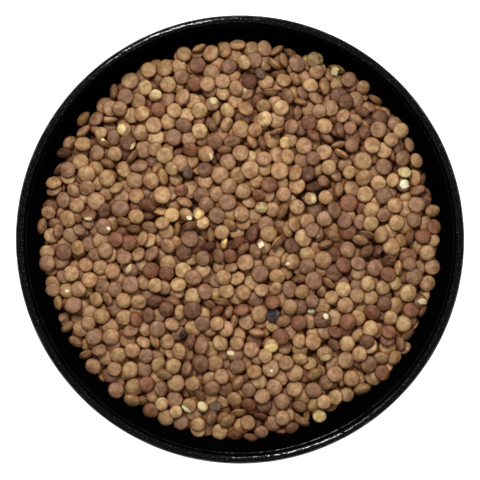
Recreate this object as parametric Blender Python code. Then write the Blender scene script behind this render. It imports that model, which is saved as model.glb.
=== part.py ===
"""A bowl of dry brown lentils, as solids.

The bowl is one turned piece: a foot ring, a curved wall and a rounded lip. The lentils are one piece: a core
that fills the bowl and whose top is one bump for each lentil that lies flat, with the lentils that lie steep
and proud fused onto it.

Metres, +Z up. The origin is on the bowl's axis, in the plane that the foot stands on.
"""

import math
import random

import bmesh
import bpy
from mathutils import Matrix, Vector
from mathutils.geometry import delaunay_2d_cdt, interpolate_bezier

MM = 0.001

# The bowl
RIM_RADIUS = 70 * MM
BOWL_HEIGHT = 50 * MM
WALL = 2.4 * MM
LIP_RADIUS = 1.5 * MM
LIP_FROM, LIP_TO = 180, -45  # degrees, from the lip's inner side over its top to its outer side
LIP_STEPS = 6
MOUTH_RADIUS = 66.7 * MM  # of the wall's inner face, where the lip starts
MOUTH_HEIGHT = BOWL_HEIGHT - 2.7 * MM
MOUTH_SLOPE = math.radians(74.5)  # of the wall there, from the level
MOUTH_PULL = 19 * MM  # how far down the wall its straight top holds
FLOOR_RADIUS = 20 * MM  # of the floor's flat middle
FLOOR_HEIGHT = 5 * MM
FLOOR_PULL = 26 * MM  # how far out the floor's flat holds
FOOT_RADIUS = 33 * MM
FOOT_WIDTH = 3.2 * MM
FOOT_RECESS = 2.4 * MM  # of the underside inside the foot ring
FOOT_ROUNDING = 0.5 * MM
FOOT_TAPER = 0.4 * MM
WALL_STEPS = 8
SIDES = 44

# The heap
FIT_GAP = 0.3 * MM  # between the lentils and the bowl
CROWN_HEIGHT = 43.8 * MM  # of the lentils' upper faces at the middle
EDGE_HEIGHT = 41.4 * MM  # of the dome that they follow, at the wall
DOME_POWER = 3.2  # the higher, the flatter the middle
SHOULDER_START = 54 * MM  # radius from which the heap falls away from the dome
SHOULDER_END = MOUTH_RADIUS - 3 * MM
SHOULDER_DROP = 1.6 * MM  # at its end
BORDER_HEIGHT = EDGE_HEIGHT - 1.9 * MM  # of the heap's low edge against the wall
BORDER_MARGIN = 0.3  # of a lentil's diameter, at least, from the border to a lentil's middle

# The lentils
LENTIL_DIAMETER = 5 * MM
LENTIL_THICKNESS = 0.46 * LENTIL_DIAMETER
FLAT = 0.55  # of a lentil's top, as a share of its width
PLACE_JITTER = 0.55 * MM
HEIGHT_JITTER = 0.35 * MM
LEAST_LEAN, MOST_LEAN = 4, 17  # degrees, of the lentils that lie flat
PROUD_EVERY = 18  # one lentil in so many lies proud of the others
PROUD_SIDES = 6
PROUD_LIFT = 0.15 * MM  # of its middle over the others' upper faces
LEAST_PROUD_LEAN, MOST_PROUD_LEAN = 12, 42
RANDOM_SEED = 11


def wall_points(inset=0.0, steps=WALL_STEPS):
    """Points (radius, height) up the bowl's inner face, from its floor to the lip, moved in by inset."""
    slope = Vector((math.cos(MOUTH_SLOPE), math.sin(MOUTH_SLOPE)))
    floor_end = Vector((FLOOR_RADIUS, FLOOR_HEIGHT))
    mouth = Vector((MOUTH_RADIUS, MOUTH_HEIGHT))
    floor_pull = floor_end + Vector((FLOOR_PULL, 0))
    curve = interpolate_bezier(floor_end, floor_pull, mouth - MOUTH_PULL * slope, mouth, steps)
    points = []
    for i, point in enumerate(curve):
        along = curve[min(i + 1, steps - 1)] - curve[max(i - 1, 0)]
        inwards = Vector((-along.y, along.x)).normalized()
        points.append(point + inset * inwards)
    return [(p.x, p.y) for p in points]


def wall_radius(height):
    """The bowl's inner radius at a height."""
    points = wall_points()
    for (r0, z0), (r1, z1) in zip(points, points[1:]):
        if z0 <= height <= z1:
            return r0 + (r1 - r0) * (height - z0) / (z1 - z0)
    return MOUTH_RADIUS


def arc(centre, radius, start, end, steps):
    """Points on an arc, from one angle to another, in degrees."""
    angles = [math.radians(start + (end - start) * i / (steps - 1)) for i in range(steps)]
    return [(centre[0] + radius * math.cos(a), centre[1] + radius * math.sin(a)) for a in angles]


def bowl_profile():
    """The bowl's half section, from the middle of its floor over the lip to the middle of its underside."""
    inside = wall_points()
    lip_centre = (RIM_RADIUS - LIP_RADIUS, BOWL_HEIGHT - LIP_RADIUS)
    lip = arc(lip_centre, LIP_RADIUS, LIP_FROM, LIP_TO, LIP_STEPS)
    outside = [p for p in reversed(wall_points(inset=-WALL)) if p[0] > FOOT_RADIUS + WALL]
    foot_inner = FOOT_RADIUS - FOOT_WIDTH
    foot = [
        (FOOT_RADIUS + FOOT_TAPER, FLOOR_HEIGHT - WALL + FOOT_ROUNDING),
        (FOOT_RADIUS, FOOT_ROUNDING),
        (FOOT_RADIUS - FOOT_ROUNDING, 0),
        (foot_inner + FOOT_ROUNDING, 0),
        (foot_inner, FOOT_ROUNDING),
        (foot_inner - FOOT_TAPER, FOOT_RECESS),
    ]
    return [(0, FLOOR_HEIGHT)] + inside + lip + outside + foot + [(0, FOOT_RECESS)]


def ring(bm, radius, height):
    turns = [2 * math.pi * k / SIDES for k in range(SIDES)]
    return [bm.verts.new((radius * math.cos(t), radius * math.sin(t), height)) for t in turns]


def skin(bm, rings):
    """Joins each ring of vertices to the next."""
    for low, high in zip(rings, rings[1:]):
        for k in range(SIDES):
            after = (k + 1) % SIDES
            bm.faces.new((low[k], low[after], high[after], high[k]))


def cap(bm, loop, height):
    """Closes a ring of vertices with a fan round a point on the axis."""
    middle = bm.verts.new((0, 0, height))
    for k in range(SIDES):
        bm.faces.new((middle, loop[(k + 1) % SIDES], loop[k]))


def as_object(name, bm):
    bmesh.ops.recalc_face_normals(bm, faces=bm.faces)
    mesh = bpy.data.meshes.new(name)
    bm.to_mesh(mesh)
    bm.free()
    obj = bpy.data.objects.new(name, mesh)
    bpy.context.scene.collection.objects.link(obj)
    return obj


def material(name, colour, roughness):
    made = bpy.data.materials.new(name)
    made.use_nodes = True
    shader = made.node_tree.nodes["Principled BSDF"]
    shader.inputs["Base Color"].default_value = (*colour, 1)
    shader.inputs["Roughness"].default_value = roughness
    shader.inputs["Metallic"].default_value = 0
    return made


def make_bowl():
    profile = bowl_profile()
    bm = bmesh.new()
    rings = [ring(bm, radius, height) for radius, height in profile[1:-1]]
    skin(bm, rings)
    cap(bm, rings[0], profile[0][1])
    cap(bm, rings[-1], profile[-1][1])
    bowl = as_object("bowl", bm)
    bowl.data.materials.append(material("black_plastic", (0.006, 0.006, 0.007), 0.2))
    bowl.data.shade_smooth()
    bowl.data.set_sharp_from_angle(angle=math.radians(40))
    return bowl


def heap_height(radius):
    """Height of the lentils' upper faces at a distance from the axis."""
    dome = CROWN_HEIGHT - (CROWN_HEIGHT - EDGE_HEIGHT) * (radius / MOUTH_RADIUS) ** DOME_POWER
    along = max(radius - SHOULDER_START, 0) / (SHOULDER_END - SHOULDER_START)
    return dome - SHOULDER_DROP * along**2


def lentil_places(reach, rng):
    """Places spread evenly out to a reach, one for each lentil that shows, like the seeds of a sunflower."""
    room = math.sqrt(3) / 2 * LENTIL_DIAMETER**2
    golden_turn = math.pi * (3 - math.sqrt(5))
    places = []
    for k in range(int(math.pi * reach**2 / room)):
        radius = math.sqrt(room * (k + 0.5) / math.pi)
        turn = k * golden_turn
        jitter = Vector((rng.uniform(-1, 1), rng.uniform(-1, 1))) * PLACE_JITTER
        places.append(radius * Vector((math.cos(turn), math.sin(turn))) + jitter)
    return places


def lay_bumps(bm, places, reach, border, rng):
    """Makes the heap's top. Three places that are neighbours share a low point between them, on the border if
    one of them is out of reach. The low points round a place are joined to a smaller copy of their outline,
    raised and leaned at random: the lentil's top.
    """
    places, _, corners_of, *_ = delaunay_2d_cdt(places, [], [], 0, 1e-6)
    inside = [place.length < reach for place in places]
    around = {}
    for corners in corners_of:
        if not any(inside[i] for i in corners):
            continue
        middle = sum((places[i] for i in corners), Vector((0, 0))) / 3
        low = heap_height(middle.length) - LENTIL_THICKNESS / 2 - HEIGHT_JITTER * rng.random()
        if not all(inside[i] for i in corners):
            middle = middle.normalized() * border
            low = BORDER_HEIGHT
        vertex = bm.verts.new((*middle, low))
        for i in corners:
            around.setdefault(i, []).append(vertex)
    for i, outline in around.items():
        if not inside[i]:
            continue
        place = places[i]
        outline.sort(key=lambda v: math.atan2(v.co.y - place.y, v.co.x - place.x))
        lean = math.tan(math.radians(rng.uniform(LEAST_LEAN, MOST_LEAN)))
        turn = rng.uniform(0, 2 * math.pi)
        downhill = lean * Vector((math.cos(turn), math.sin(turn)))
        height = heap_height(place.length) + HEIGHT_JITTER * rng.uniform(-1, 1)
        top = []
        for vertex in outline:
            offset = FLAT * (vertex.co.xy - place)
            top.append(bm.verts.new((*(place + offset), height - downhill.dot(offset))))
        bm.faces.new(top)
        for k in range(len(outline)):
            after = (k + 1) % len(outline)
            bm.faces.new((outline[k], outline[after], top[after], top[k]))


def lentil_mesh():
    """One lentil: a facetted lens, widest round its rim, with a small flat on each face."""
    bm = bmesh.new()
    half = LENTIL_THICKNESS / 2
    widest = LENTIL_DIAMETER / 2
    turns = [2 * math.pi * k / PROUD_SIDES for k in range(PROUD_SIDES)]
    loops = []
    for radius, height in ((FLAT * widest, half), (widest, 0), (FLAT * widest, -half)):
        loops.append([bm.verts.new((radius * math.cos(t), radius * math.sin(t), height)) for t in turns])
    bm.faces.new(loops[0])
    bm.faces.new(reversed(loops[2]))
    for upper, lower in zip(loops, loops[1:]):
        for k in range(PROUD_SIDES):
            after = (k + 1) % PROUD_SIDES
            bm.faces.new((lower[k], lower[after], upper[after], upper[k]))
    mesh = bpy.data.meshes.new("lentil")
    bm.to_mesh(mesh)
    bm.free()
    return mesh


def lay_proud_lentils(collection, places, rng):
    mesh = lentil_mesh()
    for place in places:
        lean = math.radians(rng.uniform(LEAST_PROUD_LEAN, MOST_PROUD_LEAN))
        turn = rng.uniform(0, 2 * math.pi)
        lentil = bpy.data.objects.new("lentil", mesh)
        spot = Matrix.Translation((*place, heap_height(place.length) + PROUD_LIFT))
        lentil.matrix_world = spot @ Matrix.Rotation(lean, 4, (math.cos(turn), math.sin(turn), 0))
        collection.objects.link(lentil)


def fuse(obj, collection):
    """Joins the collection's objects to obj, and removes them."""
    union = obj.modifiers.new("Fuse", "BOOLEAN")
    union.operation = "UNION"
    union.operand_type = "COLLECTION"
    union.collection = collection
    union.solver = "MANIFOLD"
    graph = bpy.context.evaluated_depsgraph_get()
    fused = bpy.data.meshes.new_from_object(obj.evaluated_get(graph))
    obj.modifiers.clear()
    obj.data = fused
    for piece in list(collection.objects):
        bpy.data.objects.remove(piece)
    bpy.data.collections.remove(collection)


def keep_outer_shell(obj):
    """Fills any hollow that fusing has sealed, and drops any loose scrap: only the largest shell stays."""
    bm = bmesh.new()
    bm.from_mesh(obj.data)
    unseen = set(bm.faces)
    shells = []
    while unseen:
        shell = []
        edge_of_shell = [unseen.pop()]
        while edge_of_shell:
            face = edge_of_shell.pop()
            shell.append(face)
            for other in {f for edge in face.edges for f in edge.link_faces} & unseen:
                unseen.remove(other)
                edge_of_shell.append(other)
        shells.append(shell)
    shells.sort(key=len)
    scraps = [face for shell in shells[:-1] for face in shell]
    bmesh.ops.delete(bm, geom=scraps, context="FACES")
    bm.to_mesh(obj.data)
    bm.free()


def make_lentils():
    rng = random.Random(RANDOM_SEED)
    border = wall_radius(BORDER_HEIGHT) - 2 * FIT_GAP
    reach = border - BORDER_MARGIN * LENTIL_DIAMETER
    places = lentil_places(border + LENTIL_DIAMETER, rng)
    bm = bmesh.new()
    lay_bumps(bm, places, reach, border, rng)
    top_edge = [edge for edge in bm.edges if edge.is_boundary]
    sides = [p for p in wall_points(inset=FIT_GAP) if p[1] < BORDER_HEIGHT - LENTIL_THICKNESS]
    rings = [ring(bm, radius, height) for radius, height in sides]
    skin(bm, rings)
    cap(bm, rings[0], FLOOR_HEIGHT + FIT_GAP)
    side_edge = [bm.edges.get((rings[-1][k], rings[-1][(k + 1) % SIDES])) for k in range(SIDES)]
    bmesh.ops.bridge_loops(bm, edges=top_edge + side_edge)
    lentils = as_object("lentils", bm)

    proud = bpy.data.collections.new("proud_lentils")
    bpy.context.scene.collection.children.link(proud)
    clear_of_wall = [place for place in places if place.length < border - LENTIL_DIAMETER / 2]
    lay_proud_lentils(proud, clear_of_wall[::PROUD_EVERY], rng)
    fuse(lentils, proud)
    keep_outer_shell(lentils)
    lentils.data.materials.clear()
    lentils.data.materials.append(material("brown_lentils", (0.23, 0.12, 0.062), 0.6))
    return lentils


def main():
    for obj in list(bpy.data.objects):
        bpy.data.objects.remove(obj)
    make_bowl()
    make_lentils()


main()
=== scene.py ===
"""The looks of a bowl of dry brown lentils: a glossy black bowl, and every lentil of the heap's upper layers
as its own small lens, laid one by one on those below it.

Metres, +Z up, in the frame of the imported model.
"""

import math

import bmesh
import bpy
import numpy as np
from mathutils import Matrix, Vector
from mathutils.geometry import interpolate_bezier


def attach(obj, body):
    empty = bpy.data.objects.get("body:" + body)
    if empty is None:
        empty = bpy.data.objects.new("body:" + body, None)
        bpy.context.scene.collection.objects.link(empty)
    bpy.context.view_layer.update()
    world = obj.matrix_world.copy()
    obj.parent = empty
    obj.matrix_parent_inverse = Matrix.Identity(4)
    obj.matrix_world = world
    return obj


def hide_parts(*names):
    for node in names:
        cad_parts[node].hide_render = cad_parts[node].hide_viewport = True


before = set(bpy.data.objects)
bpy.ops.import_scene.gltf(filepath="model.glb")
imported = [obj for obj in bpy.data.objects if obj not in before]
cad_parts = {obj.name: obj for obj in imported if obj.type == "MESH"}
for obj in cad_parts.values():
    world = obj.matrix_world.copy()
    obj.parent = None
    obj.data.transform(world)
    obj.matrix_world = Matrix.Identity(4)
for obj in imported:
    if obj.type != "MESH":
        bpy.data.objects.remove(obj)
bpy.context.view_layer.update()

MM = 0.001

# The bowl, as in the solids, with a small ledge between the wall and the lip
RIM_RADIUS = 70 * MM
BOWL_HEIGHT = 50 * MM
WALL = 2.4 * MM
LIP_RADIUS = 1.5 * MM
LIP_START, LIP_END = 180, -45  # degrees
LEDGE_HEIGHT = 0.06 * MM
LEDGE_POINTS = 3
MOUTH_RADIUS = 66.7 * MM
MOUTH_HEIGHT = BOWL_HEIGHT - 2.7 * MM
MOUTH_SLOPE = math.radians(74.5)
MOUTH_PULL = 19 * MM
FLOOR_RADIUS = 20 * MM
FLOOR_HEIGHT = 5 * MM
FLOOR_PULL = 26 * MM
FOOT_RADIUS = 33 * MM
FOOT_WIDTH = 3.2 * MM
FOOT_RECESS = 2.4 * MM
FOOT_ROUNDING = 0.5 * MM
FOOT_TAPER = 0.4 * MM
WALL_STEPS = 56
LIP_STEPS = 20
DULL_LIP_STEPS = LIP_STEPS // 5  # of the lip, from the inside on, that are as dull as the wall
FOOT_STEPS = 6
TURN_STEPS = 192
AXIS_GAP = 0.02 * MM  # between the axis and the first and last point of a profile
STREAK_FINENESS = 0.3  # the lower, the longer the streaks in the bowl's highlights

# The photograph: a frame of 480 by 480 pixels that looks straight down
FRAME_PX = 480
PIXEL_MIDDLE = 0.5
BOWL_CENTRE_PX = (240.0, 239.4)
RIM_RADIUS_PX = 224.4
METRES_PER_PX = RIM_RADIUS / RIM_RADIUS_PX  # at the rim
CAMERA_DISTANCE = 0.5  # from the rim
SENSOR_WIDTH = 36  # millimetres

# Lentils that the photograph shows well, by kind: place and length in that frame, lean, and which way it
# leans, both in degrees
SET_IN_PX = {
    "lentils_pale": [(171.5, 214.5, 15.5, 5, 0), (223.9, 243, 13.5, 66, 170), (285, 142, 13, 25, 0)],
    "lentils_yellowish": [
        (270.4, 345.2, 15.3, 12, 270), (202, 222, 14, 15, 90), (349, 172, 14, 10, 0), (100, 132, 13, 20, 90),
        (261, 207, 14, 30, 270), (175, 411.6, 14, 15, 0), (202, 406, 12, 20, 45), (155, 95, 13.5, 25, 270),
    ],
    "lentils_tan": [
        (123.9, 128.5, 15, 15, 0), (189.1, 405, 15.5, 8, 45), (310, 198, 14, 20, 180),
        (198.6, 212.8, 13, 15, 90),
    ],
    "lentils_pinkish": [(324.5, 352.7, 16.5, 12, 270)],
    "lentils_mauve": [
        (402.8, 184.5, 14.5, 8, 0), (211.8, 103.4, 15, 12, 90), (87.5, 222.5, 13, 15, 90),
        (323, 180.2, 12, 20, 30),
    ],
    "lentils_dark": [(420.6, 301.8, 15, 20, 0)],
    "lentils_greenish": [(404, 172, 14, 32, 90), (319.5, 416.6, 14.8, 28, 90)],
    "lentils_streaked": [(314.7, 58.4, 17.5, 10, 90), (212, 157, 13, 68, 30), (64, 322, 10, 66, -40)],
    "lentils_blackish": [(273, 315.2, 14.5, 18, 90), (182.2, 334.5, 11, 64, 0)],
    "lentils_dark_red": [(248.8, 80.8, 15.5, 8, 0), (313.2, 186, 18, 58, 100)],
    "lentils_greyish": [(186.9, 172.6, 13.5, 40, 0), (214.7, 406, 12.5, 40, 90), (260.2, 72.6, 13, 38, 30)],
}

# Where a skin is chipped and the pale seed shows: place, length and width in that frame, turn in degrees, and
# whiteness from 0, yellow, to 1, cream
CHIPPED_PX = [
    (120.8, 128.5, 10.5, 9, 80, 0.3), (270.6, 348.3, 15, 11, 0, 0.0), (325.9, 357.6, 13, 7, 8, 0.3),
    (405.5, 172, 11.5, 9.5, 10, 0.5), (404, 183.7, 9.5, 9, 60, 1.0), (422.9, 301, 12.5, 6, -12, 0.6),
    (261.2, 208.3, 12, 7, 0, 0.35), (243.3, 89.3, 5.5, 5, 0, 0.5), (128.2, 268.3, 10, 5, 62, 0.6),
    (310.9, 310.6, 8, 3.5, 5, 1.0), (325.2, 315.4, 6, 5, -50, 0.9), (66, 290.5, 4, 3, 0, 0.8),
    (156, 93, 13, 7, -15, 0.4), (185.5, 409, 13, 3.5, -38, 0.8), (201.4, 404.8, 10, 7, -50, 0.7),
    (313.1, 198.9, 9.5, 4.5, -68, 0.6), (316.9, 234.8, 6, 3, 80, 1.0), (287, 263, 4.5, 3.5, 30, 0.9),
    (213.4, 99.4, 9, 8, 80, 0.5), (132.9, 146.6, 8.5, 5, 70, 0.3), (87.4, 219.7, 9.5, 6, 15, 0.5),
    (197.9, 214.6, 9, 6.5, 80, 0.05), (212, 158, 12, 4, -60, 0.7), (230.4, 352.4, 8, 4.5, 0, 0.7),
    (223.6, 240, 7, 6, 80, 0.0), (108.4, 227.9, 4.5, 3, -30, 0.9), (271, 370, 3, 2.5, 80, 1.0),
    (183, 60.5, 4.5, 3.5, 80, 1.0),
]

# Loose chips: place and size in that frame, turn in degrees, and shade from 0, greenish, to 1, whitish
CHIPS_PX = [
    (260.4, 244.2, 6.5, 35, 1.0), (188.8, 217.6, 5.5, 10, 0.7), (335.4, 71, 10, -20, 0.0),
    (103, 140, 3.5, 0, 0.5),
]

# The heap's top: a dome, with a low swell made of three waves, each with its radians per metre and phase, and
# a shoulder down to the wall that varies round the bowl in waves, each with its count, phase and size
CROWN_HEIGHT = 43.8 * MM
EDGE_HEIGHT = 41.4 * MM
DOME_POWER = 3.2
UNEVENNESS = 0.45 * MM
SWELL_RIGHT, SWELL_UP, SWELL_SLANTING = (140, 1.0), (120, 0.4), (90, 2.0)
SLANTING_SHARE = 0.6
SWELL_SCALE = 0.6  # brings the sum of the waves back to about 1
SHOULDER_START = 54 * MM  # radius from which the heap falls away to the wall
SHOULDER_START_WAVES = ((3, 0.8, 0.9 * MM), (7, 2.0, 0.8 * MM))
SHOULDER_END = MOUTH_RADIUS - 3 * MM
SHOULDER_LIMIT = 1.3  # where the fall stops, as a share of the way from its start to its end
SHOULDER_DROP = 1.6 * MM
SHOULDER_DROP_WAVES = ((5, 1.0, 0.35), (11, 0.3, 0.35))

# The core under the loose lentils
LOOSE_DEPTH = 6.4 * MM  # of the loose lentils, over the core
FIT_GAP = 0.3 * MM  # between the core and the bowl
CORE_RADIUS = MOUTH_RADIUS - 5 * MM
CORE_EDGE = 0.5 * MM  # least height from the core's side to the edge of its top
CORE_RINGS = 24
CORE_TURNS = 96

# The lentils. Thickness is a share of the diameter
LENTIL_DIAMETER = 5.3 * MM
DIAMETER_SPREAD = 0.3 * MM
DIAMETER_LIMITS = (4.4 * MM, 6 * MM)
THICKNESS = 0.44
THICKNESS_SPREAD = 0.03
THICKNESS_LIMITS = (0.38, 0.54)
LENS_TURNS = 18
LENS_RINGS = (0.34, 0.6, 0.79, 0.91, 0.98)  # radii on each face, as shares of the rim's
LENS_FLATNESS = 2.15  # the higher, the flatter the middle
LENS_POWER = 0.69  # the higher, the sharper the rim

# How far a lentil differs from the lens of radius 1 and half thickness 1
OVAL = 0.035
WOBBLES = ((3, 0.018), (5, 0.012))  # waves round the rim, and their greatest size
WOBBLE_PHASES = 6.28  # about a full turn
SLANT = 0.14
DENT_PLACE = 0.6  # farthest to either side of the middle
DENT_DEPTHS = (-0.05, 0.16)
DENT_SPREAD = 0.16

# How the lentils are laid. The trials of a lentil, flat or steep, are how many leans and places are tried,
# how far the places spread, how high its middle may come against the heap's height, and how much a lean that
# lifts its rim counts against a place
RANDOM_SEED = 20
CELL = 0.25 * MM  # of the height map that they are laid on
MAP_RADIUS = MOUTH_RADIUS + 5 * MM
FAR = 1.0  # a height, up or down, that nothing reaches
CONTACT = 0.96  # how much of its size keeps a lentil off the others
FLAT_TRIALS = (40, 24, 1.2 * MM, -0.2 * MM, 0.25)
STEEP_TRIALS = (16, 30, 1.6 * MM, -0.1 * MM, 0)
FLAT_SPREAD = 29  # of the leans, in degrees
STEEP_LIMITS = (48, 86)
STEEP_SHARE = 0.08
FILL_RADIUS = MOUTH_RADIUS - 2.7 * MM
FILL_CHOICES = 160  # places of which the deepest is taken
FILL_MISSES = 400  # in a row, after which the heap is full
MISS_REACH = 0.8 * MM  # round a place that took no lentil, within which none is tried again
TAKE_OUT_REACH = 0.42  # round a lentil that is set in, as a share of its diameter
TAKE_OUT_SHARE = 0.1  # of the cells within that reach, from which a lentil counts as in the way
SET_IN_DEPTH = 0.3 * MM  # of the middle of a lentil that is set in flat, under the heap's height
BED_DEPTH = 1.1 * MM  # of the middles of the lentils under it, below its lowest point
BED_TRIES = 6
REFILL_HIGHEST = -0.8 * MM  # of the middles of the lentils laid round them, against the heap's height

# Painted shade for what lies under the heap's top, averaged over a reach round it and counted up to a limit
PAINTED_SHADE_REACH = 1.6 * MM
PAINTED_SHADE_LIMIT = 1 * MM  # over the heap's height
PAINTED_SHADE_START, PAINTED_SHADE_END = 0.3 * MM, 2.2 * MM

# What the skins' materials read: a place in the noise, a shade, and the distance from a chipped patch
SKIN_SCALE = (1, 1, 0.45)
SKIN_SPREAD = 60  # between the places of different lentils
SHADE_EVENNESS = 1.6  # the higher, the more alike the shades
FAR_FROM_CHIP = (9, 9, 0)

# A loose chip: its corners, its proportions, and as shares of its size, its footprint and how high it lies
CHIP_CORNERS = 14
CHIP_SHAPE = (1, 0.8, 0.45)
CHIP_FOOTPRINT = 0.35
CHIP_LIFT = 0.12

# Kinds of lentil: share, darkest, lightest and patch colour, and how wrinkled
KINDS = {
    "lentils_tan": (0.27, (145, 117, 78), (189, 158, 116), (155, 115, 81), 0.12),
    "lentils_yellowish": (0.08, (156, 130, 90), (195, 167, 123), (164, 128, 88), 0.1),
    "lentils_pinkish": (0.3, (136, 104, 76), (170, 135, 104), (163, 132, 94), 0.15),
    "lentils_mauve": (0.21, (118, 87, 67), (145, 110, 88), (143, 111, 79), 0.2),
    "lentils_red": (0.06, (118, 77, 52), (147, 101, 74), (108, 71, 49), 0.25),
    "lentils_dark": (0.04, (89, 60, 45), (115, 80, 62), (128, 92, 68), 0.3),
    "lentils_wrinkled": (0.04, (106, 73, 52), (135, 97, 71), (91, 61, 42), 0.6),
    "lentils_pale": (0.0, (192, 162, 110), (206, 177, 124), (188, 156, 106), 0.05),
    "lentils_greenish": (0.0, (178, 160, 104), (196, 178, 120), (160, 142, 92), 0.3),
    "lentils_streaked": (0.0, (156, 136, 95), (172, 152, 108), (102, 90, 64), 1.2),
    "lentils_blackish": (0.0, (52, 48, 54), (66, 60, 64), (118, 108, 106), 1.6),
    "lentils_dark_red": (0.0, (84, 52, 37), (106, 68, 50), (72, 45, 32), 0.6),
    "lentils_greyish": (0.0, (88, 70, 61), (122, 99, 84), (96, 78, 60), 0.3),
}


def srgb(red, green, blue):
    """A colour given in bytes, as the share of light that it reflects."""
    shares = [value / 255 for value in (red, green, blue)]
    return tuple(s / 12.92 if s <= 0.04045 else ((s + 0.055) / 1.055) ** 2.4 for s in shares)


# Tints, which multiply a colour, and colours. Those in rows are the stops of a ramp
WHITE = (1.0, 1.0, 1.0)
CLOUD_TINTS = ((0.3, (0.7, 0.75, 1.0)), (0.7, (1.2, 1.25, 1.5)))
DUST_COLOUR = (0.8, 0.85, 0.9)
BLOTCH_TINTS = ((0.37, (0.79, 0.67, 0.55)), (0.63, (1.3, 1.22, 1.165)))
FRECKLE_COLOUR = srgb(86, 54, 36)
MIDDLE_TINT = (0.62, 0.5, 0.42)
# Painted shade at the rim, where a lentil curves down into the gaps
PAINTED_RIM_SHADE = (0.5, 0.32, 0.17)
# Painted shade: darker and warmer where a lentil lies under the heap's top
PAINTED_SHADE_TINTS = ((0.0, WHITE), (0.5, (0.79, 0.6, 0.4)), (1.0, (0.6, 0.29, 0.08)))
SEED_COLOURS = ((0.0, srgb(240, 210, 144)), (0.5, srgb(208, 188, 136)), (1.0, srgb(246, 242, 206)))
SEED_TINTS = ((0.3, (0.7, 0.66, 0.5)), (0.6, WHITE))
CHIP_COLOURS = ((0.0, srgb(200, 188, 136)), (1.0, srgb(240, 222, 192)))
CHIP_TINTS = ((0.35, (0.78, 0.74, 0.66)), (0.6, WHITE))
CORE_COLOURS = ((0.35, srgb(70, 34, 14)), (0.65, srgb(120, 72, 36)))
FLOOR_COLOUR = (0.92, 0.92, 0.92)


def rotated(x, y, angle):
    """A point or vector turned round the origin, by an angle in radians."""
    c, s = np.cos(angle), np.sin(angle)
    return x * c - y * s, x * s + y * c


def arc(centre, radius, start, end, steps):
    """Points round a centre, from one angle to another, in degrees."""
    angles = [math.radians(start + (end - start) * i / (steps - 1)) for i in range(steps)]
    return [(centre[0] + radius * math.cos(a), centre[1] + radius * math.sin(a)) for a in angles]


def wall_points(inset=0.0, steps=WALL_STEPS):
    """Points (radius, height) up the bowl's inner face, from the floor's flat to the lip, moved inwards."""
    slope = Vector((math.cos(MOUTH_SLOPE), math.sin(MOUTH_SLOPE)))
    floor_end = Vector((FLOOR_RADIUS, FLOOR_HEIGHT))
    mouth = Vector((MOUTH_RADIUS, MOUTH_HEIGHT))
    floor_pull = floor_end + Vector((FLOOR_PULL, 0))
    curve = interpolate_bezier(floor_end, floor_pull, mouth - MOUTH_PULL * slope, mouth, steps)
    points = []
    for i, point in enumerate(curve):
        along = curve[min(i + 1, steps - 1)] - curve[max(i - 1, 0)]
        inwards = Vector((-along.y, along.x)).normalized()
        points.append(point + inset * inwards)
    return [(p.x, p.y) for p in points]


def bowl_profile():
    """Points (radius, height) from the floor up the inside, over the lip and down to the foot's recess."""
    lip_centre = (RIM_RADIUS - LIP_RADIUS, BOWL_HEIGHT - LIP_RADIUS)
    lip = arc(lip_centre, LIP_RADIUS, LIP_START, LIP_END, LIP_STEPS)
    lip_inside = RIM_RADIUS - 2 * LIP_RADIUS
    ledge = [
        (MOUTH_RADIUS + LEDGE_HEIGHT, MOUTH_HEIGHT + LEDGE_HEIGHT),
        (lip_inside - LEDGE_HEIGHT, MOUTH_HEIGHT + LEDGE_HEIGHT),
        (lip_inside, MOUTH_HEIGHT + 2 * LEDGE_HEIGHT),
    ]
    outside = [p for p in reversed(wall_points(-WALL)) if p[0] > FOOT_RADIUS + WALL]
    foot_inner = FOOT_RADIUS - FOOT_WIDTH
    outer_corner = (FOOT_RADIUS - FOOT_ROUNDING, FOOT_ROUNDING)
    inner_corner = (foot_inner + FOOT_ROUNDING, FOOT_ROUNDING)
    foot = [(FOOT_RADIUS + FOOT_TAPER, FLOOR_HEIGHT - WALL + FOOT_ROUNDING)]
    foot += arc(outer_corner, FOOT_ROUNDING, 0, -90, FOOT_STEPS)
    foot += arc(inner_corner, FOOT_ROUNDING, -90, -180, FOOT_STEPS)
    foot += [(foot_inner - FOOT_TAPER, FOOT_RECESS)]
    inside = [(AXIS_GAP, FLOOR_HEIGHT)] + wall_points()
    return inside + ledge + lip + outside + foot + [(AXIS_GAP, FOOT_RECESS)]


def turned(profile, turns):
    """Points and four-cornered faces of a profile turned round Z. It starts and ends close to the axis."""
    profile = np.array(profile)
    angles = 2 * np.pi * np.arange(turns) / turns
    x = profile[:, :1] * np.cos(angles)
    y = profile[:, :1] * np.sin(angles)
    z = np.repeat(profile[:, 1:], turns, axis=1)
    points = np.stack((x, y, z), axis=-1).reshape(-1, 3)
    low = np.arange(len(profile) - 1)[:, None] * turns
    high = low + turns
    here = np.arange(turns)[None, :]
    after = (here + 1) % turns
    faces = np.stack((low + here, high + here, high + after, low + after), axis=-1)
    return points, faces.reshape(-1, 4)


def placed(name, data):
    """A new object in the scene."""
    thing = bpy.data.objects.new(name, data)
    bpy.context.scene.collection.objects.link(thing)
    return thing


def new_piece(name, points, faces, material, node):
    """A mesh object from arrays of points and faces that all have as many corners."""
    mesh = bpy.data.meshes.new(name)
    corners = faces.shape[1]
    mesh.vertices.add(len(points))
    mesh.vertices.foreach_set("co", np.ascontiguousarray(points, dtype=np.float32).ravel())
    mesh.loops.add(faces.size)
    mesh.loops.foreach_set("vertex_index", np.ascontiguousarray(faces, dtype=np.int32).ravel())
    mesh.polygons.add(len(faces))
    mesh.polygons.foreach_set("loop_start", np.arange(0, faces.size, corners, dtype=np.int32))
    mesh.update(calc_edges=True)
    mesh.shade_smooth()
    mesh.materials.append(material)
    piece = placed(name, mesh)
    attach(piece, "root")
    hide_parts(node)
    return piece


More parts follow.
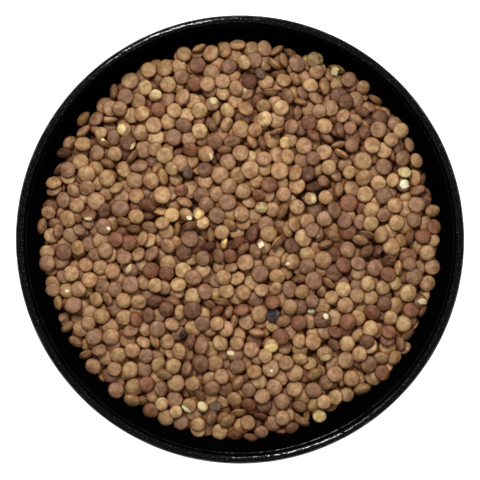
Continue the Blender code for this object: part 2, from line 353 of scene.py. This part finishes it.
class Nodes:
    """Short ways to add and link a material's nodes. Colours are given without alpha, and inputs of a node by
    their names, with _ for each space.
    """

    MIX_FIRST, MIX_SECOND, MIX_RESULT = 6, 7, 2  # sockets of a Mix node for colours

    def __init__(self, name):
        self.material = bpy.data.materials.new(name)
        self.material.use_nodes = True
        self.tree = self.material.node_tree

    def put(self, value, socket):
        """Links or sets a socket."""
        if isinstance(value, bpy.types.NodeSocket):
            self.tree.links.new(value, socket)
        elif socket.type == "RGBA":
            socket.default_value = (*value, 1)
        else:
            socket.default_value = value

    def put_all(self, inputs, node):
        for key, value in inputs.items():
            self.put(value, node.inputs[key.replace("_", " ")])

    def add(self, kind, **inputs):
        node = self.tree.nodes.new("ShaderNode" + kind)
        self.put_all(inputs, node)
        return node

    def surface(self, **inputs):
        """Sets the material's surface and returns the material."""
        self.put_all(inputs, self.tree.nodes["Principled BSDF"])
        return self.material

    def place(self):
        """Where a point is on the object, in metres."""
        return self.add("TexCoord").outputs["Object"]

    def attribute(self, name, output):
        node = self.add("Attribute")
        node.attribute_name = name
        return node.outputs[output]

    def noise(self, vector, scale, detail=2.0, roughness=0.5):
        node = self.add("TexNoise", Vector=vector, Scale=scale, Detail=detail, Roughness=roughness)
        return node.outputs["Fac"]

    def math(self, operation, first, second=0.0):
        node = self.add("Math")
        node.operation = operation
        self.put(first, node.inputs[0])
        self.put(second, node.inputs[1])
        return node.outputs["Value"]

    def span(self, value, low, high, to_low=0.0, to_high=1.0):
        """Stretches what lies between low and high, and cuts off the rest."""
        node = self.add("MapRange", Value=value, From_Min=low, From_Max=high, To_Min=to_low, To_Max=to_high)
        return node.outputs["Result"]

    def ramp(self, value, stops):
        """A colour that goes by a value, from stop to stop."""
        node = self.add("ValToRGB", Fac=value)
        elements = node.color_ramp.elements
        while len(elements) < len(stops):
            elements.new(0.5)  # its own place follows
        for element, (place, colour) in zip(elements, stops):
            element.position = place
            element.color = (*colour, 1)
        return node.outputs["Color"]

    def mix(self, share, first, second, blend="MIX"):
        node = self.add("Mix")
        node.data_type = "RGBA"
        node.blend_type = blend
        self.put(share, node.inputs["Factor"])
        self.put(first, node.inputs[self.MIX_FIRST])
        self.put(second, node.inputs[self.MIX_SECOND])
        return node.outputs[self.MIX_RESULT]

    def tinted(self, colour, tint, share=1.0):
        """A colour multiplied by a tint, by a share."""
        return self.mix(share, colour, tint, "MULTIPLY")

    def bump(self, height, strength, distance, under=None):
        node = self.add("Bump", Height=height, Strength=strength, Distance=distance)
        if under is not None:
            self.put(under, node.inputs["Normal"])
        return node.outputs["Normal"]


def bowl_material(name, black, gloss, dust, unevenness):
    """Black plastic: a face that is a little uneven, more so across than along its turning, so that its
    highlights break up into streaks, with specks of dust.
    """
    nodes = Nodes(name)
    place = nodes.place()
    x, y, z = nodes.add("SeparateXYZ", Vector=place).outputs
    angle = nodes.math("ARCTAN2", y, x)
    square = nodes.math("ADD", nodes.math("MULTIPLY", x, x), nodes.math("MULTIPLY", y, y))
    radius = nodes.math("SQRT", square)
    along = nodes.math("MULTIPLY", angle, STREAK_FINENESS * RIM_RADIUS)
    turned_place = nodes.add("CombineXYZ", X=along, Y=radius, Z=z).outputs["Vector"]

    cloud = nodes.noise(place, scale=90.0, detail=3.0)
    blacks = [(level, [share * black for share in tint]) for level, tint in CLOUD_TINTS]
    specks = nodes.noise(place, scale=2600.0, detail=1.0)
    dusty = nodes.span(specks, low=0.66, high=0.72, to_high=dust)
    colour = nodes.mix(dusty, nodes.ramp(cloud, blacks), DUST_COLOUR)

    grain = nodes.noise(turned_place, scale=1500.0, roughness=0.6)
    roughness = nodes.span(grain, low=0.4, high=0.6, to_low=0.03, to_high=0.18)
    swell = nodes.noise(turned_place, scale=330.0, detail=1.0)
    waves = nodes.bump(swell, strength=0.5 * unevenness, distance=0.0007)
    normal = nodes.bump(grain, strength=0.6 * unevenness, distance=0.0002, under=waves)
    return nodes.surface(Base_Color=colour, Roughness=roughness, Specular_IOR_Level=gloss, Normal=normal)


def bare_seed(nodes, skin, blotches):
    """How far the skin is chipped off, which ends in a ragged edge, and the colour of the seed under it."""
    chip = nodes.add("SeparateXYZ", Vector=nodes.attribute("chip", "Vector"))
    flat = nodes.add("CombineXYZ", X=chip.outputs["X"], Y=chip.outputs["Y"])
    distance = nodes.add("VectorMath", Vector=flat.outputs["Vector"])
    distance.operation = "LENGTH"
    tears = nodes.noise(skin, scale=3.0, detail=3.0)
    ragged = nodes.span(tears, low=0.3, high=0.7, to_low=-0.25, to_high=0.25)
    edge = nodes.math("ADD", distance.outputs["Value"], ragged)
    bare = nodes.span(edge, low=0.92, high=1.04, to_low=1.0, to_high=0.0)
    colour = nodes.ramp(chip.outputs["Z"], SEED_COLOURS)
    return bare, nodes.tinted(colour, nodes.ramp(blotches, SEED_TINTS))


def lentil_material(name, dark, light, patch, wrinkles):
    """Dry seed skin. Each lentil has its own shade between dark and light, soft patches of another shade,
    blotches, freckles and a darker middle. Painted shade darkens it to a deeper brown towards its rim, and to
    a darker, warmer brown where it lies deep under others.
    Where it is chipped, the pale seed shows.
    """
    nodes = Nodes(name)
    skin = nodes.attribute("skin", "Vector")
    rim = nodes.attribute("rim", "Fac")
    colour = nodes.ramp(nodes.attribute("shade", "Fac"), ((0.0, srgb(*dark)), (1.0, srgb(*light))))
    patches = nodes.span(nodes.noise(skin, scale=0.8, detail=1.5), low=0.42, high=0.6, to_high=0.7)
    colour = nodes.mix(patches, colour, srgb(*patch))
    blotches = nodes.noise(skin, scale=1.5, detail=3.0)
    colour = nodes.tinted(colour, nodes.ramp(blotches, BLOTCH_TINTS))
    freckles = nodes.span(nodes.noise(skin, scale=6.5), low=0.57, high=0.68, to_high=0.36)
    colour = nodes.mix(freckles, colour, FRECKLE_COLOUR)
    colour = nodes.tinted(colour, MIDDLE_TINT, nodes.span(rim, low=0.05, high=0.3, to_low=0.3, to_high=0.0))
    # Painted shade: a deeper brown towards the rim
    colour = nodes.tinted(colour, PAINTED_RIM_SHADE, nodes.span(rim, low=0.84, high=1.0))
    # Painted shade, darker and warmer where the lentil lies under its neighbours
    colour = nodes.tinted(colour, nodes.ramp(nodes.attribute("deep", "Fac"), PAINTED_SHADE_TINTS))
    bare, seed = bare_seed(nodes, skin, blotches)
    colour = nodes.mix(bare, colour, seed)

    roughness = nodes.span(blotches, low=0.37, high=0.63, to_low=0.62, to_high=0.46)
    dented = nodes.noise(skin, scale=1.7, detail=5.0, roughness=0.6)
    dents = nodes.bump(dented, strength=0.7, distance=0.0008)
    folded = nodes.noise(skin, scale=2.4, detail=3.0)
    folds = nodes.bump(folded, strength=wrinkles, distance=0.0016, under=dents)
    return nodes.surface(Base_Color=colour, Roughness=roughness, Specular_IOR_Level=0.4, Normal=folds)


def chip_material():
    """The inside of a seed, broken."""
    nodes = Nodes("seed_inside")
    grain = nodes.noise(nodes.place(), scale=1500.0, detail=3.0)
    colour = nodes.ramp(nodes.attribute("shade", "Fac"), CHIP_COLOURS)
    colour = nodes.tinted(colour, nodes.ramp(grain, CHIP_TINTS))
    normal = nodes.bump(grain, strength=0.4, distance=0.0002)
    return nodes.surface(Base_Color=colour, Roughness=0.6, Normal=normal)


def core_material():
    """The shade between the lowest lentils."""
    nodes = Nodes("heap_shade")
    grains = nodes.noise(nodes.place(), scale=420.0)
    return nodes.surface(Base_Color=nodes.ramp(grains, CORE_COLOURS), Roughness=0.8)


def with_waves(value, waves, turn):
    """A value that varies in waves round the bowl."""
    for count, phase, size in waves:
        value = value + size * np.sin(count * turn + phase)
    return value


def heap_top(x, y):
    """Height that the lentils' upper faces come to."""
    radius = np.hypot(x, y)
    turn = np.arctan2(y, x)
    dome = CROWN_HEIGHT - (CROWN_HEIGHT - EDGE_HEIGHT) * (radius / MOUTH_RADIUS) ** DOME_POWER
    waves = zip((x, y, x + y), (SWELL_RIGHT, SWELL_UP, SWELL_SLANTING))
    right, up, slanting = [per_metre * place + phase for place, (per_metre, phase) in waves]
    swell = np.sin(right) * np.cos(up) + SLANTING_SHARE * np.sin(slanting)
    start = with_waves(SHOULDER_START, SHOULDER_START_WAVES, turn)
    along = np.clip((radius - start) / (SHOULDER_END - start), 0, SHOULDER_LIMIT)
    drop = SHOULDER_DROP * with_waves(1, SHOULDER_DROP_WAVES, turn)
    return dome + UNEVENNESS * SWELL_SCALE * swell - drop * along**2


def wall_height(radius):
    """Height of the bowl's inner face at a distance from the axis, and out of reach beyond its mouth."""
    points = np.array(wall_points())
    return np.interp(radius, points[:, 0], points[:, 1], right=2 * BOWL_HEIGHT)


def heap_place(spot_px):
    """Where on the heap's top a place in the photograph is, as x and y."""
    farther = (CAMERA_DISTANCE + BOWL_HEIGHT - CROWN_HEIGHT) / CAMERA_DISTANCE
    x = (spot_px[0] + PIXEL_MIDDLE - BOWL_CENTRE_PX[0]) * METRES_PER_PX * farther
    y = (BOWL_CENTRE_PX[1] - spot_px[1] - PIXEL_MIDDLE) * METRES_PER_PX * farther
    return x, y


def window(cell, reach):
    """The square of cells round one."""
    return tuple(slice(middle - reach, middle + reach + 1) for middle in cell)


class Heap:
    """A height map, on which lentils are laid one by one. Each is tried at several places and leans round a
    deep hollow, and stays where its middle comes to lie lowest.
    """

    def __init__(self, rng):
        self.rng = rng
        self.half = int(math.ceil(MAP_RADIUS / CELL))
        self.axis = np.arange(-self.half, self.half + 1) * CELL
        self.x, self.y = np.meshgrid(self.axis, self.axis, indexing="ij")
        self.goal = heap_top(self.x, self.y)
        self.top = np.maximum(self.goal - LOOSE_DEPTH, wall_height(np.hypot(self.x, self.y)))
        self.owner = np.full(self.top.shape, -1)
        self.bare_top = self.top.copy()
        self.laid = []
        self.upper_faces = []
        self.taken_out = set()

    def cell_at(self, spot_px):
        """The cell of the heap's top that shows at a place in the photograph."""
        x, y = heap_place(spot_px)
        return int(round(x / CELL)) + self.half, int(round(y / CELL)) + self.half

    def lens_faces(self, diameter, thickness, leans, turns, patch):
        """Lower and upper face of an ellipsoid as flat as the lens, over a square patch of cells, for each
        way of leaning. Outside it the lower face is high above it and the upper face far below it.
        """
        across, through = (2 / diameter / CONTACT) ** 2, (2 / thickness / CONTACT) ** 2
        steps = np.arange(-patch, patch + 1) * CELL
        px, py = np.meshgrid(steps, steps, indexing="ij")
        nx = (np.sin(leans) * np.cos(turns))[:, None, None]
        ny = (np.sin(leans) * np.sin(turns))[:, None, None]
        nz = np.cos(leans)[:, None, None]
        flat = nx * px + ny * py
        square = across + (through - across) * nz**2
        linear = (through - across) * nz * flat
        rest = across * (px**2 + py**2) + (through - across) * flat**2 - 1
        room = linear**2 - square * rest
        reach = np.sqrt(np.maximum(room, 0))
        low = np.where(room > 0, (-linear - reach) / square, FAR)
        high = np.where(room > 0, (-linear + reach) / square, -FAR)
        return low, high

    def settle(self, spot, diameter, thickness, leans, turns, tries, wander, flatness):
        """The lowest way for a lens to lie near a spot. Gives its cell, its middle's height, which lean it
        has, that height against the heap's, its upper face from its middle, and how far its patch reaches.
        """
        patch = int(math.ceil(diameter / 2 / CELL)) + 1
        low, high = self.lens_faces(diameter, thickness, leans, turns, patch)
        shifts = self.rng.normal(0, wander / CELL, (tries, 2)).round().astype(int)
        cells = np.clip(np.array(spot) + shifts, patch, 2 * self.half - patch)
        span = np.arange(-patch, patch + 1)
        ground = self.top[cells[:, 0, None, None] + span[:, None], cells[:, 1, None, None] + span[None, :]]
        heights = (ground[:, None] - low[None]).max(axis=(2, 3))
        under = heights - self.goal[cells[:, 0], cells[:, 1]][:, None]
        rise = np.hypot(diameter / 2 * np.sin(leans), thickness / 2 * np.cos(leans)) - thickness / 2
        best = np.unravel_index(np.argmin(under + flatness * rise), under.shape)
        return cells[best[0]], heights[best], best[1], under[best], high[best[1]], patch

    def lay(self, spot, steep=False, highest=0.0):
        """Lays one lentil near a spot, if its middle comes no higher than highest over the heap's height."""
        rng = self.rng
        diameter = np.clip(rng.normal(LENTIL_DIAMETER, DIAMETER_SPREAD), *DIAMETER_LIMITS)
        thickness = diameter * np.clip(rng.normal(THICKNESS, THICKNESS_SPREAD), *THICKNESS_LIMITS)
        ways, tries, wander, most, flatness = STEEP_TRIALS if steep else FLAT_TRIALS
        if steep:
            leans = np.radians(rng.uniform(*STEEP_LIMITS, ways))
        else:
            leans = np.radians(np.abs(rng.normal(0, FLAT_SPREAD, ways)))
        turns = rng.uniform(0, 2 * np.pi, ways)
        settled = self.settle(spot, diameter, thickness, leans, turns, tries, wander, flatness)
        cell, height, way, under, high, patch = settled
        if under > min(most, highest):
            return False
        self.keep(cell, height, high, patch, (diameter, thickness, leans[way], turns[way]))
        return True

    def keep(self, cell, height, high, patch, lens):
        """Adds a lens that lies with its middle on a cell, and raises the heap's top by it."""
        self.laid.append((self.axis[cell[0]], self.axis[cell[1]], height, *lens))
        self.upper_faces.append((window(cell, patch), height + high))
        self.cover(len(self.laid) - 1)

    def cover(self, number):
        """Raises the heap's top to a lens's upper face, and notes where that is what shows."""
        cells, upper = self.upper_faces[number]
        shown = upper > self.top[cells]
        self.owner[cells][shown] = number
        self.top[cells] = np.maximum(self.top[cells], upper)

    def take_out(self, spot, reach, kept):
        """Takes out the lentils that are in the way within reach of a spot, unless they are to be kept."""
        near = np.hypot(self.x - self.axis[spot[0]], self.y - self.axis[spot[1]]) < reach
        numbers, cells = np.unique(self.owner[near], return_counts=True)
        in_way = {int(n) for n, share in zip(numbers, cells / near.sum()) if share > TAKE_OUT_SHARE}
        self.taken_out |= in_way - kept - {-1}
        self.top = self.bare_top.copy()
        self.owner[:] = -1
        for number in range(len(self.laid)):
            if number not in self.taken_out:
                self.cover(number)

    def set_in(self, spot_px, length_px, lean, turn, kept):
        """Lays a lentil at a place in the photograph, with its upper side level with the others', over a bed
        of others, and returns its number.
        """
        spot = self.cell_at(spot_px)
        diameter = length_px * METRES_PER_PX
        thickness = diameter * THICKNESS
        leans, turns = np.radians([lean]), np.radians([turn])
        half_height = np.hypot(diameter / 2 * np.sin(leans[0]), thickness / 2 * np.cos(leans[0]))
        depth = SET_IN_DEPTH + half_height - thickness / 2
        self.take_out(spot, TAKE_OUT_REACH * diameter, kept)
        for _ in range(BED_TRIES):
            self.lay(spot, highest=-(depth + half_height + BED_DEPTH))
        settled = self.settle(spot, diameter, thickness, leans, turns, tries=1, wander=0, flatness=0)
        cell, height, _, _, high, patch = settled
        height = min(height, self.goal[tuple(cell)] - depth)
        self.keep(cell, height, high, patch, (diameter, thickness, leans[0], turns[0]))
        return len(self.laid) - 1

    def fill(self, highest=0.0):
        """Lays lentils in the deepest hollow of a random few, until none is left that could take one."""
        full = np.hypot(self.x, self.y) > FILL_RADIUS
        near = int(MISS_REACH / CELL)
        misses = 0
        while misses < FILL_MISSES:
            choice = self.rng.integers(0, 2 * self.half + 1, (FILL_CHOICES, 2))
            depth = (self.goal - self.top)[choice[:, 0], choice[:, 1]]
            depth[full[choice[:, 0], choice[:, 1]]] = -FAR
            spot = choice[np.argmax(depth)]
            steep = self.rng.random() < STEEP_SHARE
            if self.lay(spot, steep, highest):
                misses = 0
            elif not steep:
                misses += 1
                full[window(spot, near)] = True

    def painted_shade_depth(self, points):
        """How far points lie under the heap's top around them, from 0 to 1, which sets how much painted shade
        they get.
        """
        width = 2 * int(PAINTED_SHADE_REACH / CELL) + 1
        around = np.minimum(self.top, self.goal + PAINTED_SHADE_LIMIT)
        for axis in (0, 1):
            around = np.apply_along_axis(np.convolve, axis, around, np.full(width, 1 / width), "same")
        cells = (points[..., :2] / CELL).round().astype(int) + self.half
        under = around[cells[..., 0], cells[..., 1]] - points[..., 2]
        return np.clip((under - PAINTED_SHADE_START) / (PAINTED_SHADE_END - PAINTED_SHADE_START), 0, 1)


def lens_template():
    """Points and triangles of a lens of radius 1 and half thickness 1, from its upper pole down."""
    shares = (*LENS_RINGS, 1.0, *reversed(LENS_RINGS))
    sides = [1] * len(LENS_RINGS) + [0] + [-1] * len(LENS_RINGS)
    angles = 2 * np.pi * np.arange(LENS_TURNS) / LENS_TURNS
    points = [(0, 0, 1)]
    for share, side in zip(shares, sides):
        height = side * (1 - share**LENS_FLATNESS) ** LENS_POWER
        points += [(share * math.cos(a), share * math.sin(a), height) for a in angles]
    points.append((0, 0, -1))
    last = len(points) - 1
    faces = []
    for k in range(LENS_TURNS):
        after = (k + 1) % LENS_TURNS
        faces.append((0, 1 + k, 1 + after))
        faces.append((last, last - LENS_TURNS + after, last - LENS_TURNS + k))
        for ring in range(len(shares) - 1):
            upper, lower = 1 + ring * LENS_TURNS, 1 + (ring + 1) * LENS_TURNS
            faces.append((upper + k, lower + k, lower + after))
            faces.append((upper + k, lower + after, upper + after))
    return np.array(points), np.array(faces)


def own_shapes(count, template, rng):
    """The lens's points for each lentil, a little out of round in its own way, and the points' radius."""
    x, y, z = template[:, 0][None], template[:, 1][None], template[:, 2][None]
    turn = np.arctan2(y, x)
    radius = np.hypot(x, y)

    def draw(low, high):
        return rng.uniform(low, high, (count, 1))

    oval = draw(-OVAL, OVAL)
    wobble = 0
    for waves, size in WOBBLES:
        wobble = wobble + draw(0, size) * np.cos(waves * turn + draw(0, WOBBLE_PHASES))
    out = 1 + radius**2 * wobble
    lx = x * out * (1 + oval)
    ly = y * out * (1 - oval)
    slant = 1 + draw(-SLANT, SLANT) * x + draw(-SLANT, SLANT) * y
    dent_x, dent_y = draw(-DENT_PLACE, DENT_PLACE), draw(-DENT_PLACE, DENT_PLACE)
    dent = draw(*DENT_DEPTHS) * np.exp(-((x - dent_x) ** 2 + (y - dent_y) ** 2) / DENT_SPREAD)
    lz = z * slant * (1 - dent)
    return lx, ly, lz, np.broadcast_to(radius, lx.shape)


def lentil_points(laid, template, rng):
    """The points of every lentil laid, where they were on the lens, and their radius there."""
    lx, ly, lz, radius = own_shapes(len(laid), template, rng)
    x, y, z, diameter, thickness, lean, turn = np.array(laid).T[:, :, None]
    spin = rng.uniform(0, 2 * np.pi, (len(laid), 1))
    sx, sy = [diameter / 2 * side for side in rotated(lx, ly, spin)]
    along, across = rotated(sx, sy, -turn)
    leaned, height = rotated(along, thickness / 2 * lz, -lean)
    px, py = rotated(leaned, across, turn)
    points = np.stack((x + px, y + py, z + height), axis=-1)
    return points, np.stack((lx, ly, lz), axis=-1), radius


def chip_vectors(points, chip):
    """Every point's place from the middle of a chipped patch, in units of the patch, with whiteness as Z."""
    px, py, length, width, turn, whiteness = chip
    x, y = heap_place((px, py))
    along, across = rotated(points[:, 0] - x, points[:, 1] - y, -math.radians(turn))
    along /= length / 2 * METRES_PER_PX
    across /= width / 2 * METRES_PER_PX
    return np.stack((along, across, np.full(len(points), whiteness)), axis=-1)


def put_attribute(mesh, name, kind, field, values):
    """Gives each point of a mesh a value that the materials can read."""
    attribute = mesh.attributes.new(name, kind, "POINT")
    attribute.data.foreach_set(field, np.ascontiguousarray(values, np.float32).ravel())


def make_lentils(name, heap, numbers, chips, material, rng):
    """One piece of all the lentils of a kind. chips holds the chipped patches, by the lentil's number."""
    template, faces = lens_template()
    points, local, radius = lentil_points([heap.laid[number] for number in numbers], template, rng)
    count, corners = len(numbers), len(template)
    all_faces = (faces[None] + corners * np.arange(count)[:, None, None]).reshape(-1, 3)
    mesh = new_piece(name, points.reshape(-1, 3), all_faces, material, "lentils").data
    skin = local * SKIN_SCALE + rng.uniform(0, SKIN_SPREAD, (count, 1, 3))
    shade = np.repeat(rng.beta(SHADE_EVENNESS, SHADE_EVENNESS, count), corners)
    chip = np.tile(np.array(FAR_FROM_CHIP, dtype=float), (count, corners, 1))
    for i, number in enumerate(numbers):
        if number in chips:
            chip[i] = chip_vectors(points[i], chips[number])
    put_attribute(mesh, "skin", "FLOAT_VECTOR", "vector", skin)
    put_attribute(mesh, "chip", "FLOAT_VECTOR", "vector", chip)
    put_attribute(mesh, "shade", "FLOAT", "value", shade)
    put_attribute(mesh, "rim", "FLOAT", "value", radius)
    # deep holds how far each point lies under the heap's top, for the painted shade
    put_attribute(mesh, "deep", "FLOAT", "value", heap.painted_shade_depth(points))


def make_chips(heap, rng):
    """Small broken pieces that lie on the lentils."""
    hulls = bmesh.new()
    shade_layer = hulls.verts.layers.float.new("shade")
    for px, py, size_px, turn, shade in CHIPS_PX:
        size = size_px * METRES_PER_PX
        x, y = heap_place((px, py))
        near = int(CHIP_FOOTPRINT * size / CELL) + 1
        under = heap.top[window(heap.cell_at((px, py)), near)].max()
        c, s = math.cos(math.radians(turn)), math.sin(math.radians(turn))
        corners = rng.uniform(-1, 1, (CHIP_CORNERS, 3))
        corners *= 0.5 * size / np.abs(corners).max(axis=1, keepdims=True) * CHIP_SHAPE
        turned_corners = corners @ np.array([(c, s, 0), (-s, c, 0), (0, 0, 1)])
        points = [hulls.verts.new(corner) for corner in turned_corners + (x, y, under + CHIP_LIFT * size)]
        for point in points:
            point[shade_layer] = shade
        bmesh.ops.convex_hull(hulls, input=points)
    loose = [vertex for vertex in hulls.verts if not vertex.link_faces]
    bmesh.ops.delete(hulls, geom=loose, context="VERTS")
    bmesh.ops.triangulate(hulls, faces=hulls.faces)
    hulls.verts.index_update()
    points = np.array([vertex.co for vertex in hulls.verts])
    shades = np.array([vertex[shade_layer] for vertex in hulls.verts])
    faces = np.array([[vertex.index for vertex in face.verts] for face in hulls.faces])
    hulls.free()
    piece = new_piece("lentil_chips", points, faces, chip_material(), "lentils")
    put_attribute(piece.data, "shade", "FLOAT", "value", shades)
    piece.data.shade_flat()


def make_core():
    """What fills the bowl under the loose lentils."""
    top = []
    for i in range(CORE_RINGS):
        radius = CORE_RADIUS * (1 - i / CORE_RINGS)
        height = float(heap_top(np.array([radius]), np.array([0.0]))[0]) - LOOSE_DEPTH - UNEVENNESS
        top.append((radius, height))
    sides = [p for p in wall_points(FIT_GAP) if p[1] < top[0][1] - CORE_EDGE]
    profile = [(AXIS_GAP, FLOOR_HEIGHT + FIT_GAP)] + sides + top + [(AXIS_GAP, top[-1][1])]
    points, faces = turned(profile, CORE_TURNS)
    new_piece("heap_core", points, faces, core_material(), "lentils")


def make_heap():
    """Lays the lentils, sets in those of the photograph, fills up round them, and makes the pieces."""
    rng = np.random.default_rng(RANDOM_SEED)
    heap = Heap(rng)
    heap.fill()
    set_in = {}
    for name, lentils in SET_IN_PX.items():
        for x, y, length, lean, turn in lentils:
            number = heap.set_in((x, y), length, lean, turn, set(set_in))
            set_in[number] = name
    heap.fill(REFILL_HIGHEST)

    shares = np.array([share for share, *_ in KINDS.values()])
    kind_of = rng.choice(list(KINDS), len(heap.laid), p=shares / shares.sum())
    for number, name in set_in.items():
        kind_of[number] = name
    chips = {heap.owner[heap.cell_at(chip[:2])]: chip for chip in CHIPPED_PX}
    seen = np.isin(np.arange(len(heap.laid)), heap.owner)
    for name, (_, dark, light, patch, wrinkles) in KINDS.items():
        numbers = np.nonzero(seen & (kind_of == name))[0]
        material = lentil_material(name, dark, light, patch, wrinkles)
        make_lentils(name, heap, numbers, chips, material, rng)
    make_chips(heap, rng)


def make_bowl():
    """The bowl's inside is duller than its lip, with a greyer line on the ledge between them, partly dust and
    partly a painted highlight, and its outside is smoother.
    """
    lip, inside, ledge, outside = range(4)  # places among the bowl's materials
    points, faces = turned(bowl_profile(), TURN_STEPS)
    material = bowl_material("black_lip", black=0.0003, gloss=0.34, dust=0.09, unevenness=1.0)
    bowl = new_piece("bowl_fine", points, faces, material, "bowl")
    for material in (
        bowl_material("black_inside", black=0.0009, gloss=0.0, dust=0.002, unevenness=1.0),
        # The ledge's greyer black paints a faint highlight line, and its specks are dust
        bowl_material("black_ledge", black=0.004, gloss=0.1, dust=0.03, unevenness=1.0),
        bowl_material("black_outside", black=0.002, gloss=0.4, dust=0.004, unevenness=0.15),
    ):
        bowl.data.materials.append(material)
    ring = np.arange(len(faces)) // TURN_STEPS
    lip_start = WALL_STEPS + LEDGE_POINTS
    slots = np.full(len(faces), lip)
    slots[ring <= lip_start + DULL_LIP_STEPS] = inside
    slots[(ring > WALL_STEPS) & (ring < lip_start)] = ledge
    slots[ring > lip_start + LIP_STEPS] = outside
    bowl.data.polygons.foreach_set("material_index", slots.astype(np.int32))


def make_floor():
    """A white floor that glows, so that it shows as white as the photograph's ground."""
    reach = 3.0
    corners = [(-reach, -reach, 0), (reach, -reach, 0), (reach, reach, 0), (-reach, reach, 0)]
    mesh = bpy.data.meshes.new("floor")
    mesh.from_pydata(corners, [], [(0, 1, 2, 3)])
    nodes = Nodes("white_floor")
    mesh.materials.append(
        nodes.surface(Base_Color=FLOOR_COLOUR, Roughness=0.9, Emission_Color=WHITE, Emission_Strength=0.9)
    )
    floor = placed("floor", mesh)


def area_light(name, place, size, power):
    """A round light that shines on the heap."""
    data = bpy.data.lights.new(name, "AREA")
    data.shape = "DISK"
    data.size = size
    data.energy = power
    light = placed(name, data)
    light.location = place
    towards = Vector((0, 0, CROWN_HEIGHT)) - Vector(place)
    light.rotation_euler = towards.to_track_quat("-Z", "Y").to_euler()
    return light


def make_lights():
    """A small window that gives the crisp highlights, a large light that gives none, and a dim world."""
    area_light("window", place=(-0.075, 0.21, 0.45), size=0.1, power=1.35)
    fill = area_light("fill", place=(0.12, 0.38, 0.6), size=1.44, power=6.25)
    fill.visible_glossy = False
    world = bpy.data.worlds.new("studio")
    world.use_nodes = True
    background = world.node_tree.nodes["Background"]
    background.inputs["Color"].default_value = (*WHITE, 1)
    background.inputs["Strength"].default_value = 0.18
    bpy.context.scene.world = world


def make_camera():
    """Looks straight down, so that the rim has its place and size in the photograph's frame."""
    data = bpy.data.cameras.new("camera")
    data.sensor_width = SENSOR_WIDTH
    data.lens = SENSOR_WIDTH * CAMERA_DISTANCE / (FRAME_PX * METRES_PER_PX)
    camera = placed("camera", data)
    right = (FRAME_PX / 2 - BOWL_CENTRE_PX[0]) * METRES_PER_PX
    up = (BOWL_CENTRE_PX[1] - FRAME_PX / 2) * METRES_PER_PX
    camera.location = (right, up, BOWL_HEIGHT - LIP_RADIUS + CAMERA_DISTANCE)
    bpy.context.scene.camera = camera


bpy.context.scene.view_settings.view_transform = "Standard"
make_camera()
make_lights()
make_floor()
make_bowl()
make_core()
make_heap()
